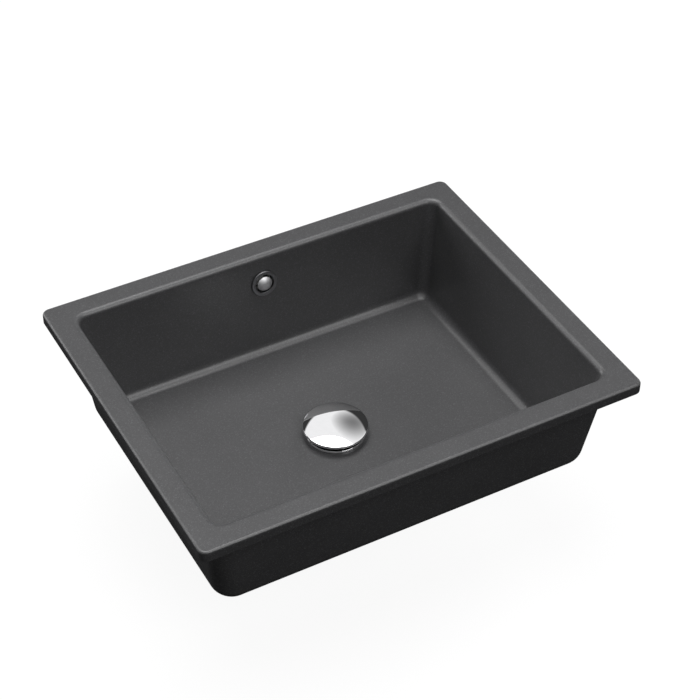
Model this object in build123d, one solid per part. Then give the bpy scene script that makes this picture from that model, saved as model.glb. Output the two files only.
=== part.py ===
from build123d import *
from math import cos, pi, radians, sin, sqrt, tan
import os

# Washbasin for a worktop, with an overflow and a click waste.
# X runs along the basin, +Y to its back, +Z up, in millimetres.
# The origin is the centre of the rim, in the plane of the rim's underside.

# Rim
rim_length = 500.0
rim_width = 400.0
rim_thickness = 12.5
rim_corner_radius = 9.0
rim_top_round = 3.0
rim_lower_round = 0.8
rim_band_ends = 28.2
rim_band_sides = 28.25
lip_round = 6.5
rim_root_round = 4.0

# Bowl, inside
bowl_depth = 123.5
opening_corner_radius = 12.0
end_wall_draft = 8.4
side_wall_draft = 6.9
floor_corner_round = 11.0
floor_fall = 1.5
drain_pad_length = 112.0
drain_pad_width = 92.0
drain_pad_corner = 44.0

# Bowl, outside
end_wall = 9.95
side_wall = 10.2
outer_end_draft = 6.6
outer_side_draft = 7.8
floor_thickness = 6.5
outer_corner_radius = 23.0
base_round = 22.0
underside_pad_drop = 3.5

# Waste hole and the recess around it
waste_hole_diameter = 46.0
waste_recess_diameter = 63.0
waste_recess_depth = 2.0

# Threaded inserts in the rim's underside
insert_spacing_x = 330.0
insert_edge_distance = 9.2
insert_diameter = 9.0
insert_depth = 9.0
insert_thread_diameter = 6.0
insert_grooves = 2
insert_groove = 0.6
insert_roof = 0.6

# Overflow
overflow_drop = 35.2
overflow_hole_diameter = 26.0
ring_diameter = 31.0
ring_thickness = 1.6
ring_edge_round = 0.7
ring_throat_diameter = 22.6
ring_sleeve_wall = 1.2
ring_sleeve_length = 12.0
gasket_thickness = 1.0
bridge_thickness = 4.0
bridge_rim = 1.6
bridge_hub_diameter = 9.0
bridge_arm = 2.4
bridge_arms = 3
button_diameter = 17.6
button_crown = 4.0
button_edge = 0.5
button_stand = 1.2
button_shank_diameter = 5.0
button_shank_spare = 2.0

# Overflow duct
duct_width = 52.0
duct_depth = 20.0
duct_wall = 3.0
duct_top_gap = 4.0
duct_flange = 9.0
duct_flange_thickness = 2.4
chamber_diameter = 78.0

# Waste fitting
tail_diameter = 41.91
tail_end_chamfer = 1.0
shank_diameter = 41.0
tail_bore_diameter = 35.0
tail_free_length = 33.0
flange_diameter = 66.0
flange_rise = 3.0
flange_overlap = 0.5
flange_edge_round = 1.2
dish_diameter = 58.0
dish_depth = 1.3
throat_diameter = 42.0
throat_depth = 6.0
flange_seal_diameter = 62.0
window_width = 20.0
window_height = 10.0
window_count = 4

# Spider in the tail's bore that carries the cartridge
spider_thickness = 6.0
spider_rim = 1.6
spider_arm = 4.0
spider_arms = 3
spider_hub_diameter = 16.0
first_arm_angle = 90.0

# Clamping stack under the duct's chamber
lower_seal_diameter = 62.0
lower_seal_foot_diameter = 54.0
lower_seal_thickness = 5.0
lower_seal_lip = 1.7
slip_washer_diameter = 60.0
slip_washer_thickness = 1.5
nut_across_flats = 54.0
nut_thickness = 12.0
nut_chamfer_angle = 30.0
nut_collar_diameter = 60.0
nut_collar = 2.5

# Click cartridge
case_diameter = 18.0
case_bore_diameter = 14.0
case_floor = 3.0
case_stud_diameter = 8.0
case_stud_spare = 4.0
collar_thickness = 4.0
collar_spigot = 3.0
collar_below_floor = 3.0
stem_diameter = 8.0
pin_diameter = 5.6
pin_length = 16.0
ring_seal_wire = 1.6
sleeve_length = 9.0
tooth_count = 8
tooth_height = 1.6
rotor_length = 6.6
spring_wire = 1.2
spring_turns = 6.5
spring_diameter = 10.6

# Cap
cap_diameter = 72.0
cap_crown = 3.75
cap_edge = 3.0
cap_edge_round = 1.3
cap_wall = 2.0
cap_open_gap = 6.0
cap_closed_gap = 0.5
cap_boss_diameter = 16.0
cap_seal_diameter = 52.0
cap_seal_thickness = 2.4
cap_seal_inset = 0.7
cap_thread_roof = 1.5
retainer_diameter = 15.0
retainer_thickness = 3.0

# Clearances
running_clearance = 0.05
seat_clearance = 0.02
face_clearance = 0.3
loose_clearance = 0.6
cut_overrun = 2.0


def slope(angle):
    """Sideways run of a drafted wall for each millimetre of height."""
    return tan(radians(angle))


# Heights
rim_top = rim_thickness
floor_edge = rim_top - bowl_depth
floor_pad = floor_edge - floor_fall
base_edge = floor_edge - floor_thickness
base_pad = floor_pad - floor_thickness - underside_pad_drop
recess_floor = floor_pad - waste_recess_depth
flange_under = floor_pad + flange_overlap
flange_top = floor_pad + flange_rise
chamber_floor = base_pad - duct_depth
seal_under = chamber_floor - lower_seal_thickness
washer_under = seal_under - slip_washer_thickness
nut_under = washer_under - nut_thickness
tail_end = nut_under - tail_free_length
collar_top = floor_pad - collar_below_floor
collar_under = collar_top - collar_thickness
cap_under = flange_top + cap_open_gap
cap_edge_top = cap_under + cap_edge
cap_top = cap_edge_top + cap_crown
seal_bottom = cap_under - cap_seal_inset
seal_top = seal_bottom + cap_seal_thickness
retainer_under = seal_bottom - retainer_thickness
sleeve_under = collar_under - collar_spigot - sleeve_length
rotor_top = sleeve_under + tooth_height - face_clearance
rotor_under = rotor_top - rotor_length
cap_travel = cap_open_gap - cap_closed_gap
pin_end = rotor_top - pin_length
case_inside = pin_end - cap_travel - loose_clearance
case_under = case_inside - case_floor

# Plan sizes of the opening and of the bowl's outside at the rim's top
opening_length = rim_length - 2 * rim_band_ends
opening_width = rim_width - 2 * rim_band_sides
outer_length = opening_length + 2 * end_wall
outer_width = opening_width + 2 * side_wall


def turned(*points):
    """A solid of revolution about Z from (radius, height) points."""
    return revolve(make_face(Plane.XZ * Polyline(*points, close=True)), Axis.Z)


def rod(diameter, bottom, top):
    """An upright round bar between two heights."""
    return Pos(0, 0, (bottom + top) / 2) * Cylinder(diameter / 2, top - bottom)


def tube(outer, inner, bottom, top):
    """An upright round tube between two heights."""
    return rod(outer, bottom, top) - rod(inner, bottom - cut_overrun, top + cut_overrun)


def plate(length, width, corner, height):
    """A rounded rectangle lying at a height."""
    return Pos(0, 0, height) * RectangleRounded(length, width, corner)


def dome_arc(radius, edge, crown):
    """A shallow dome's profile arc, from its edge up to its middle."""
    sphere = (radius**2 + crown**2) / (2 * crown)
    half_way = edge + crown - sphere + sqrt(sphere**2 - (radius / 2) ** 2)
    return ThreePointArc((radius, edge), (radius / 2, half_way), (0, edge + crown))


def edges_at(solid, height, reach=0.01):
    """The edges that lie at a height."""
    return solid.edges().filter_by_position(Axis.Z, height - reach, height + reach)


def edges_within(solid, height, length, width):
    """The edges at a height whose middles lie inside a rectangle."""
    edges = edges_at(solid, height)
    reach_x = length / 2 + seat_clearance
    reach_y = width / 2 + seat_clearance
    return [edge for edge in edges if abs(edge.center().X) < reach_x and abs(edge.center().Y) < reach_y]


def drafted(length, width, corner, end_draft, side_draft, top, bottom):
    """A block with leaning walls: length and width are its size at the rim's top."""
    sections = []
    for height in (bottom, top):
        drop = rim_top - height
        sections.append(
            plate(length - 2 * slope(end_draft) * drop, width - 2 * slope(side_draft) * drop, corner, height)
        )
    return loft(sections, ruled=True)


def tapered_floor(length, width, corner, end_draft, side_draft, edge, pad):
    """The shallow taper from a wall's foot down to the flat pad around the waste."""
    drop = rim_top - edge
    foot = plate(length - 2 * slope(end_draft) * drop, width - 2 * slope(side_draft) * drop, corner, edge)
    return loft([plate(drain_pad_length, drain_pad_width, drain_pad_corner, pad), foot], ruled=True)


def bowl_cavity():
    """The space that holds water, as a solid."""
    shape = (opening_length, opening_width, opening_corner_radius, end_wall_draft, side_wall_draft)
    walls = drafted(*shape, rim_top + cut_overrun, floor_edge)
    cavity = walls + tapered_floor(*shape, floor_edge, floor_pad)
    return fillet(edges_at(cavity, floor_edge), floor_corner_round)


def bowl_outside():
    """The bowl's outside below the rim, as a solid."""
    shape = (outer_length, outer_width, outer_corner_radius, outer_end_draft, outer_side_draft)
    walls = drafted(*shape, rim_thickness / 2, base_edge)
    body = walls + tapered_floor(*shape, base_edge, base_pad)
    return fillet(edges_at(body, base_edge), base_round)


def rim_slab():
    """The rim before the opening is cut: rounded above, eased below."""
    slab = extrude(plate(rim_length, rim_width, rim_corner_radius, 0), rim_thickness)
    slab = fillet(edges_at(slab, rim_top), rim_top_round)
    return fillet(edges_at(slab, 0), rim_lower_round)


def overflow_place():
    """The overflow's place: on the back wall's inner face, +Z pointing into the bowl."""
    wall = slope(side_wall_draft)
    return Plane(
        origin=(0, opening_width / 2 - wall * overflow_drop, rim_top - overflow_drop),
        x_dir=(1, 0, 0),
        z_dir=(0, -1, wall),
    )


def insert_places():
    """The four places of the threaded inserts, in the rim's underside."""
    reach_y = rim_width / 2 - insert_edge_distance
    return [Pos(x, y, 0) for x in (-insert_spacing_x / 2, insert_spacing_x / 2) for y in (-reach_y, reach_y)]


def basin_bowl():
    body = rim_slab() + bowl_outside()
    body = fillet(edges_within(body, 0, outer_length, outer_width), rim_root_round)
    body -= bowl_cavity()
    body = fillet(edges_within(body, rim_top, opening_length, opening_width), lip_round)
    body -= rod(waste_hole_diameter, base_pad - cut_overrun, floor_pad + cut_overrun)
    body -= rod(waste_recess_diameter, recess_floor, floor_pad + cut_overrun)
    through = 2 * side_wall + 2 * cut_overrun
    body -= overflow_place().location * Cylinder(overflow_hole_diameter / 2, through)
    for place in insert_places():
        body -= place * rod(insert_diameter + 2 * seat_clearance, -cut_overrun, insert_depth + seat_clearance)
    return body


def rim_insert():
    """One threaded insert, with two grooves that lock it in the casting."""
    body = rod(insert_diameter, 0, insert_depth)
    for index in range(insert_grooves):
        middle = insert_depth * (index + 1) / (insert_grooves + 1)
        body -= tube(
            insert_diameter + cut_overrun,
            insert_diameter - 2 * insert_groove,
            middle - insert_groove,
            middle + insert_groove,
        )
    return body - rod(insert_thread_diameter, -cut_overrun, insert_depth - insert_roof)


def rim_inserts():
    return Compound(children=[place * rim_insert() for place in insert_places()])


def overflow_ring():
    """Trim ring: a rounded flange on the wall and a sleeve into the hole."""
    bottom = gasket_thickness
    sleeve = ring_throat_diameter + 2 * ring_sleeve_wall
    flange = tube(ring_diameter, ring_throat_diameter, bottom, bottom + ring_thickness)
    flange = fillet(edges_at(flange, bottom + ring_thickness), ring_edge_round)
    body = flange + tube(sleeve, ring_throat_diameter, bottom - ring_sleeve_length, bottom)
    return overflow_place().location * body


def overflow_gasket():
    inner = ring_throat_diameter + 2 * ring_sleeve_wall + 2 * seat_clearance
    return overflow_place().location * tube(ring_diameter - 2 * gasket_thickness, inner, 0, gasket_thickness)


def bridge_top():
    """Height of the bridge's outer face, in the overflow's own frame."""
    return gasket_thickness - ring_sleeve_length + bridge_thickness


def spider(outer, rim, hub, hole, arm, arms, bottom, top):
    """A round rim joined by arms to a hub with a hole."""
    body = tube(outer, outer - 2 * rim, bottom, top) + rod(hub, bottom, top)
    reach = (outer - rim) / 2
    for index in range(arms):
        bar = Pos(reach / 2, 0, (top + bottom) / 2) * Box(reach, arm, top - bottom)
        body += Rot(0, 0, first_arm_angle + index * 360 / arms) * bar
    return body - rod(hole, bottom - cut_overrun, top + cut_overrun)


def overflow_bridge():
    """Spider in the sleeve's far end, with a threaded hub."""
    outer = ring_throat_diameter - 2 * seat_clearance
    hole = button_shank_diameter + 2 * running_clearance
    top = bridge_top()
    bottom = top - bridge_thickness
    body = spider(outer, bridge_rim, bridge_hub_diameter, hole, bridge_arm, bridge_arms, bottom, top)
    return overflow_place().location * body


def overflow_screw():
    """Domed button that stands in the ring, on a shank in the bridge's hub."""
    radius = button_diameter / 2
    under = gasket_thickness + button_stand
    edge_top = under + button_edge
    shank_end = bridge_top() - bridge_thickness - button_shank_spare
    shank = button_shank_diameter / 2
    outline = Polyline(
        (0, edge_top + button_crown),
        (0, shank_end),
        (shank, shank_end),
        (shank, under),
        (radius, under),
        (radius, edge_top),
    )
    outline += dome_arc(radius, edge_top, button_crown)
    profile = make_face(Plane.XZ * outline)
    return overflow_place().location * revolve(profile, Axis.Z)


def duct_side(depth, top):
    """Side view of a band of a depth that follows the back wall and the floor, in the Y-Z plane."""
    wall = slope(outer_side_draft)
    bottom = base_pad - depth
    back_top = outer_width / 2 - wall * (rim_top - top) + depth
    back_bottom = outer_width / 2 - wall * (rim_top - bottom) + depth
    inside = (floor_edge + base_edge) / 2
    corners = [(0, bottom), (back_bottom, bottom), (back_top, top), (depth, top), (0, inside)]
    face = make_face(Plane.YZ * Polyline(*corners, close=True))
    corner = face.vertices().sort_by_distance((0, back_bottom, bottom))[0]
    return fillet(corner, base_round + depth)


def duct_band(depth, width, top):
    """The band of a depth as a solid, centred on the basin's middle."""
    return extrude(duct_side(depth, top), width / 2, both=True)


def overflow_duct():
    """Channel down the back wall and under the floor, with bonding flanges and a round chamber."""
    flange_width = duct_width + 2 * duct_flange
    flange_bottom = base_pad - duct_flange_thickness
    outside = duct_band(duct_depth, duct_width, -duct_top_gap)
    outside += duct_band(duct_flange_thickness, flange_width, -duct_top_gap)
    outside += rod(chamber_diameter, chamber_floor, base_edge)
    outside += rod(chamber_diameter + 2 * duct_flange, flange_bottom, base_edge)
    inside = duct_band(duct_depth - duct_wall, duct_width - 2 * duct_wall, -duct_top_gap - duct_wall)
    inside += rod(chamber_diameter - 2 * duct_wall, chamber_floor + duct_wall, floor_edge)
    body = outside - inside - bowl_outside()
    return body - rod(shank_diameter + 2 * loose_clearance, chamber_floor - cut_overrun, floor_edge)


def waste_body():
    """Flange with its shallow dish, throat and threaded tail, with windows for the overflow's water."""
    flange = flange_diameter / 2
    tail = tail_diameter / 2
    shank = shank_diameter / 2
    bore = tail_bore_diameter / 2
    dish_bottom = flange_top - dish_depth
    body = turned(
        (bore, tail_end),
        (tail - tail_end_chamfer, tail_end),
        (tail, tail_end + tail_end_chamfer),
        (tail, nut_under),
        (shank, nut_under),
        (shank, flange_under),
        (flange, flange_under),
        (flange, flange_top),
        (dish_diameter / 2, flange_top),
        (throat_diameter / 2, dish_bottom),
        (bore, flange_top - throat_depth),
    )
    edge = edges_at(body, flange_top).sort_by(SortBy.RADIUS)[-1]
    body = fillet(edge, flange_edge_round)
    window_middle = base_pad - duct_wall - window_height / 2
    for index in range(window_count):
        cutter = Box(shank_diameter / 2, window_width, window_height)
        cutter = Pos(shank_diameter / 2, 0, window_middle) * cutter
        body -= Rot(0, 0, (index + 0.5) * 360 / window_count) * cutter
    return body


def tail_spider():
    """Fitted in the tail's bore: the cartridge's stud is screwed into its hub."""
    outer = tail_bore_diameter - 2 * seat_clearance
    hole = case_stud_diameter + 2 * running_clearance
    bottom = case_under - spider_thickness
    return spider(outer, spider_rim, spider_hub_diameter, hole, spider_arm, spider_arms, bottom, case_under)


def waste_flange_seal():
    inner = shank_diameter + 2 * loose_clearance
    return tube(flange_seal_diameter, inner, recess_floor, flange_under)


def lower_seal():
    """Tapered rubber washer: its top face presses on the chamber's floor."""
    inner = shank_diameter / 2 + seat_clearance
    return turned(
        (inner, seal_under),
        (lower_seal_foot_diameter / 2, seal_under),
        (lower_seal_diameter / 2, chamber_floor - lower_seal_lip),
        (lower_seal_diameter / 2, chamber_floor),
        (inner, chamber_floor),
    )


def slip_washer():
    return tube(slip_washer_diameter, shank_diameter + 2 * running_clearance, washer_under, seal_under)


def back_nut():
    """Six-sided nut with a round collar against the slip washer."""
    flat = nut_across_flats / 2
    corner = flat / cos(radians(30))
    rise = (corner - flat) * slope(nut_chamfer_angle)
    shoulder = washer_under - nut_collar
    hexagon = Pos(0, 0, nut_under) * RegularPolygon(flat, 6, major_radius=False)
    body = extrude(hexagon, shoulder - nut_under)
    body &= turned(
        (0, nut_under),
        (flat, nut_under),
        (corner, nut_under + rise),
        (corner, shoulder),
        (0, shoulder),
    )
    body += rod(nut_collar_diameter, shoulder, washer_under)
    bore = shank_diameter + 2 * seat_clearance
    return body - rod(bore, nut_under - cut_overrun, washer_under + cut_overrun)


def cartridge_case():
    """Cup that holds the latch, with a stud screwed into the spider's hub."""
    body = rod(case_diameter, case_under, collar_under) - rod(case_bore_diameter, case_inside, collar_under)
    stud_end = case_under - spider_thickness - case_stud_spare
    return body + rod(case_stud_diameter, stud_end, case_under)


def cartridge_collar():
    """Cover of the case: the stem slides in its bore, and a groove holds the ring seal."""
    spigot = case_bore_diameter - 2 * seat_clearance
    spigot_end = collar_under - collar_spigot
    body = rod(case_diameter, collar_under, collar_top) + rod(spigot, spigot_end, collar_under)
    body -= rod(stem_diameter + 2 * running_clearance, spigot_end - cut_overrun, collar_top + cut_overrun)
    groove = stem_diameter + 2 * ring_seal_wire + 2 * seat_clearance
    half = ring_seal_wire / 2 + seat_clearance
    return body - rod(groove, collar_under - half, collar_under + half)


def stem_oring():
    """Ring seal in the collar's groove, touching the stem lightly."""
    wire = ring_seal_wire / 2 - running_clearance / 2
    return Pos(0, 0, collar_under) * Torus(stem_diameter / 2 + running_clearance + wire, wire)


def toothed_ring(outer, inner, bottom, top, teeth_up):
    """A ring with sloping teeth on one end, one for each notch of the latch."""
    body = tube(outer, inner, bottom, top)
    pitch = 360 / tooth_count
    half_run = outer / 2 * tan(radians(pitch / 2))
    face, tip = (top, top - tooth_height) if teeth_up else (bottom, bottom + tooth_height)
    for index in range(tooth_count):
        notch = make_face(Plane.YZ * Polyline((-half_run, face), (0, tip), (half_run, face), close=True))
        body -= Rot(0, 0, index * pitch) * extrude(notch, outer)
    return body


def cam_sleeve():
    """Fixed sleeve in the case, with its teeth facing down to the rotor."""
    outer = case_bore_diameter - 2 * seat_clearance
    inner = stem_diameter + 2 * face_clearance
    return toothed_ring(outer, inner, sleeve_under, sleeve_under + sleeve_length, False)


def latch_rotor():
    """Rotor that turns one tooth with each press: at rest its teeth stand in the sleeve's notches."""
    outer = case_bore_diameter - 2 * face_clearance
    inner = pin_diameter + 2 * running_clearance
    half_step = Rot(0, 0, 180 / tooth_count)
    return half_step * toothed_ring(outer, inner, rotor_under, rotor_top, True)


def plunger_stem():
    """Stem from the cap's boss down to the pin that carries the rotor."""
    shoulder = rotor_top + face_clearance
    body = rod(stem_diameter, shoulder, cap_top - cap_thread_roof - face_clearance)
    return body + rod(pin_diameter, pin_end, shoulder)


def spring_turn_points(radius, rise_per_turn, bottom):
    """Half-turn stations of the spring's centre line with their directions."""
    stations = []
    for index in range(int(round(spring_turns * 2)) + 1):
        angle = pi * index
        place = Vector(radius * cos(angle), radius * sin(angle), bottom + rise_per_turn * index / 2)
        heading = Vector(-radius * sin(angle), radius * cos(angle), rise_per_turn / (2 * pi)).normalized()
        stations.append((place, heading))
    return stations


def biarc(start, start_heading, end, end_heading):
    """Two tangent arcs from one station to the next."""
    chord = end - start
    total = start_heading + end_heading
    bend = 2 * (1 - start_heading.dot(end_heading))
    lean = chord.dot(total)
    reach = (-lean + sqrt(lean * lean + bend * chord.dot(chord))) / bend
    first = start + start_heading * reach
    second = end - end_heading * reach
    middle = (first + second) * 0.5
    return [
        TangentArc(start, middle, tangent=start_heading),
        TangentArc(middle, end, tangent=second - first),
    ]


def least_turn_gap(path):
    """Least space between the spring's turns, measured on points along its centre line."""
    per_turn = 36
    count = int(spring_turns * per_turn)
    points = [path @ (index / count) for index in range(count + 1)]
    gaps = [
        (other - point).length - spring_wire
        for index, point in enumerate(points)
        for other in points[index + per_turn // 2 :]
    ]
    return min(gaps)


def plunger_spring():
    """Coil spring on the stem's pin, between the case's floor and the rotor."""
    bottom = case_inside + spring_wire / 2
    top = rotor_under - spring_wire / 2
    radius = (spring_diameter - spring_wire) / 2
    stations = spring_turn_points(radius, (top - bottom) / spring_turns, bottom)
    arcs = []
    for (start, start_heading), (end, end_heading) in zip(stations, stations[1:]):
        arcs += biarc(start, start_heading, end, end_heading)
    path = Wire(arcs)
    print("spring, least gap between turns:", round(least_turn_gap(path), 2), "mm")
    section = Plane(origin=path @ 0, z_dir=path % 0) * Circle(spring_wire / 2)
    return sweep(section, path)


def domed_disc(radius, bottom, edge, crown):
    """A disc with an upright edge and a domed top."""
    outline = Polyline((0, edge + crown), (0, bottom), (radius, bottom), (radius, edge))
    outline += dome_arc(radius, edge, crown)
    return revolve(make_face(Plane.XZ * outline), Axis.Z)


def waste_cap():
    """Pressed dome with a rounded edge, and a threaded boss under its middle."""
    radius = cap_diameter / 2
    body = domed_disc(radius, cap_under, cap_edge_top, cap_crown)
    circles = body.edges().filter_by(GeomType.CIRCLE)
    body = fillet([edge for edge in circles if edge.radius > radius - cap_edge_round], cap_edge_round)
    body -= domed_disc(radius - cap_wall, cap_under - cut_overrun, cap_edge_top - cap_wall, cap_crown)
    body += rod(cap_boss_diameter, seal_top, cap_top - cap_wall / 2)
    thread = stem_diameter + 2 * running_clearance
    return body - rod(thread, seal_top - cut_overrun, cap_top - cap_thread_roof)


def cap_seal():
    return tube(cap_seal_diameter, stem_diameter + 2 * running_clearance, seal_bottom, seal_top)


def seal_retainer():
    """Round nut that clamps the cap seal against the boss."""
    body = rod(retainer_diameter, retainer_under, seal_bottom)
    body = chamfer(edges_at(body, retainer_under), cap_edge_round / 2)
    thread = stem_diameter + 2 * running_clearance
    return body - rod(thread, retainer_under - cut_overrun, seal_bottom + cut_overrun)


nodes = {
    "basin_bowl": basin_bowl,
    "rim_inserts": rim_inserts,
    "overflow_duct": overflow_duct,
    "overflow_ring": overflow_ring,
    "overflow_gasket": overflow_gasket,
    "overflow_bridge": overflow_bridge,
    "overflow_screw": overflow_screw,
    "waste_body": waste_body,
    "tail_spider": tail_spider,
    "waste_flange_seal": waste_flange_seal,
    "lower_seal": lower_seal,
    "slip_washer": slip_washer,
    "back_nut": back_nut,
    "cartridge_case": cartridge_case,
    "cartridge_collar": cartridge_collar,
    "stem_oring": stem_oring,
    "cam_sleeve": cam_sleeve,
    "latch_rotor": latch_rotor,
    "plunger_stem": plunger_stem,
    "plunger_spring": plunger_spring,
    "waste_cap": waste_cap,
    "cap_seal": cap_seal,
    "seal_retainer": seal_retainer,
}

os.makedirs("parts", exist_ok=True)
for name, make in nodes.items():
    export_step(make(), f"parts/{name}.step")
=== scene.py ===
"""Washbasin for a worktop, with an overflow and a press-to-close waste.

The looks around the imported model, in metres and in its frame: X along the basin, +Y to its back, +Z up.
Each operator of the sidebar's panel makes one piece, or one group of like pieces.
"""

import math

import bmesh
import bpy
from bpy.props import FloatProperty, FloatVectorProperty, IntProperty, PointerProperty
from mathutils import Matrix, Vector


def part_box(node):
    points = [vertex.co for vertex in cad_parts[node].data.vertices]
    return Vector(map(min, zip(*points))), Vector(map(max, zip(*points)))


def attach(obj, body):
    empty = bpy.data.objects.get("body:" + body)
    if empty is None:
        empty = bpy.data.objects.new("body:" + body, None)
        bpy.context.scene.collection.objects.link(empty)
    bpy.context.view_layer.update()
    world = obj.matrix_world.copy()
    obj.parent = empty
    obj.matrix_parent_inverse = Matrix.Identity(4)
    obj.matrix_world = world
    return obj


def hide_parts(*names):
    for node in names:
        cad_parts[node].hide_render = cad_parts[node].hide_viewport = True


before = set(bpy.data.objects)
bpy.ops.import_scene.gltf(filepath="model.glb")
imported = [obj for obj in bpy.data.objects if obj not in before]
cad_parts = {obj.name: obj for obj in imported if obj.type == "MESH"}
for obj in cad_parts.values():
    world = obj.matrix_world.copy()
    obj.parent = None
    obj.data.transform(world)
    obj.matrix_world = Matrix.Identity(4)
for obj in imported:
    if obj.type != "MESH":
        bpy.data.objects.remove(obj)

bl_info = {
    "name": "Washbasin",
    "version": (1, 0, 0),
    "blender": (4, 5, 0),
    "location": "3D View > Sidebar > Washbasin",
    "description": "Builds a stone washbasin with its overflow and click waste",
    "category": "Object",
}

MERGE = 1e-6  # points that are nearer than this are one
SUPPORT = 0.0005  # distance from a round to the line beside it, which keeps the flat faces' shading flat
SKIN = 0.001  # how far the polish reaches past the inside's faces
HARD_EDGE = math.radians(32)  # faces that turn by more than this meet in a hard edge
HARD_TURNED_EDGE = math.radians(35)  # the same for a turned piece
WHITE = (1.0, 1.0, 1.0, 1.0)
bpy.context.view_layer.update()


# Sizes and colours


def setting(kind, **limits):
    """A maker of settings of one kind: each gets a name, a description and its default."""
    return lambda name, text, default: kind(name=name, description=text, default=default, **limits)


length = setting(FloatProperty, min=0.0, precision=5, unit="LENGTH")
count = setting(IntProperty, min=1)
share = setting(FloatProperty, min=0.0, max=1.0)
power = setting(FloatProperty, min=0.0)
millimetres = setting(FloatProperty, min=1.0)
colour = setting(FloatVectorProperty, min=0.0, max=1.0, subtype="COLOR")
location = setting(FloatVectorProperty, subtype="TRANSLATION")


def angle(name, text, degrees):
    """An angle, whose default is given in degrees."""
    return FloatProperty(name=name, description=text, default=math.radians(degrees), subtype="ANGLE")


class BowlSizes(bpy.types.PropertyGroup):
    """The stone bowl: its rim, its inside, its outside and its holes."""

    rim_length: length("Rim length", "Length of the rim", 0.500)
    rim_width: length("Rim width", "Width of the rim, front to back", 0.400)
    rim_thickness: length("Rim thickness", "Height of the rim's edge", 0.0125)
    rim_corner: length("Rim corner", "Radius of the rim's corners seen from above", 0.009)
    rim_top_round: length("Rim top round", "Rounding of the rim's upper edge", 0.003)
    rim_lower_round: length("Rim lower round", "Rounding of the rim's lower edge", 0.0008)
    rim_root_round: length("Rim root round", "Rounding where the rim's underside meets the bowl", 0.004)
    band_ends: length("Band at the ends", "Width of the flat rim at the left and right", 0.0282)
    band_sides: length("Band at the sides", "Width of the flat rim at the front and back", 0.02825)
    lip_round: length("Lip round", "Rounding of the opening's edge", 0.0065)
    depth: length("Bowl depth", "Depth of the bowl at its walls' foot", 0.1235)
    opening_corner: length("Opening corner", "Radius of the opening's corners", 0.012)
    end_draft: angle("End draft", "Lean of the end walls' inner faces", 8.4)
    side_draft: angle("Side draft", "Lean of the front and back walls' inner faces", 6.9)
    floor_round: length("Floor round", "Rounding between the floor and the walls", 0.011)
    floor_fall: length("Floor fall", "Fall of the floor towards the waste", 0.0015)
    pad_length: length("Pad length", "Length of the level pad around the waste", 0.112)
    pad_width: length("Pad width", "Width of the level pad around the waste", 0.092)
    pad_corner: length("Pad corner", "Radius of the pad's corners", 0.044)
    end_wall: length("End wall", "Thickness of the end walls", 0.00995)
    side_wall: length("Side wall", "Thickness of the front and back walls", 0.0102)
    outer_end_draft: angle("Outer end draft", "Lean of the end walls' outer faces", 6.6)
    outer_side_draft: angle("Outer side draft", "Lean of the front and back walls' outer faces", 7.8)
    outer_corner: length("Outer corner", "Radius of the bowl's outer corners", 0.023)
    base_round: length("Base round", "Rounding of the bowl's lower edge", 0.022)
    floor_thickness: length("Floor thickness", "Thickness of the floor at the walls", 0.0065)
    underside_drop: length("Underside drop", "Extra thickness of the floor at the waste", 0.0035)
    waste_hole: length("Waste hole", "Diameter of the waste hole", 0.046)
    recess: length("Recess", "Diameter of the recess around the waste hole", 0.063)
    recess_depth: length("Recess depth", "Depth of the recess around the waste hole", 0.002)
    overflow_drop: length("Overflow drop", "Height from the rim's top down to the overflow's middle", 0.0352)
    overflow_hole: length("Overflow hole", "Diameter of the overflow hole", 0.026)
    insert_hole: length("Insert hole", "Diameter of the holes for the threaded inserts", 0.00904)
    insert_hole_depth: length("Insert hole depth", "Depth of the holes for the threaded inserts", 0.00902)
    insert_spacing: length("Insert spacing", "Distance between the inserts along the rim", 0.330)
    insert_edge: length("Insert edge distance", "Distance from the rim's edge to the inserts", 0.0092)
    corner_steps: count("Corner steps", "Divisions of each rounded corner", 14)
    side_steps: count("Side steps", "Divisions of each straight side", 14)
    hole_steps: count("Hole steps", "Divisions round the overflow hole", 96)


class InsertSizes(bpy.types.PropertyGroup):
    """The threaded inserts under the rim."""

    diameter: length("Diameter", "Outer diameter of an insert", 0.009)
    depth: length("Depth", "Length of an insert", 0.009)
    bore: length("Bore", "Diameter of the thread's roots", 0.006)
    pitch: length("Pitch", "Distance between the thread's ridges", 0.001)
    ridge: length("Ridge", "Height of the thread's ridges", 0.00045)
    roof: length("Roof", "Thickness of the closed end", 0.0006)
    steps: count("Steps", "Divisions round an insert", 48)


class OverflowSizes(bpy.types.PropertyGroup):
    """The overflow's trim ring and its domed button."""

    gasket: length("Gasket", "Thickness of the rubber behind the ring", 0.001)
    ring: length("Ring", "Outer diameter of the trim ring", 0.031)
    ring_thickness: length("Ring thickness", "Thickness of the trim ring", 0.0016)
    ring_round: length("Ring round", "Rounding of the ring's outer edge", 0.0007)
    throat: length("Throat", "Inner diameter of the ring", 0.0226)
    throat_round: length("Throat round", "Rounding of the ring's inner edge", 0.0004)
    sleeve_wall: length("Sleeve wall", "Wall thickness of the ring's sleeve", 0.0012)
    sleeve_length: length("Sleeve length", "Length of the ring's sleeve", 0.012)
    button: length("Button", "Diameter of the domed button", 0.0176)
    button_crown: length("Button crown", "Rise of the button's dome", 0.004)
    button_edge: length("Button edge", "Height of the button's edge", 0.0005)
    button_round: length("Button round", "Rounding of the button's edge", 0.0003)
    button_stand: length("Button stand", "Gap between the gasket and the button", 0.0012)
    shank: length("Shank", "Diameter of the button's shank", 0.005)
    shank_reach: length("Shank reach", "Depth of the shank's end behind the wall's face", 0.013)
    steps: count("Steps", "Divisions round the ring and the button", 128)


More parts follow.
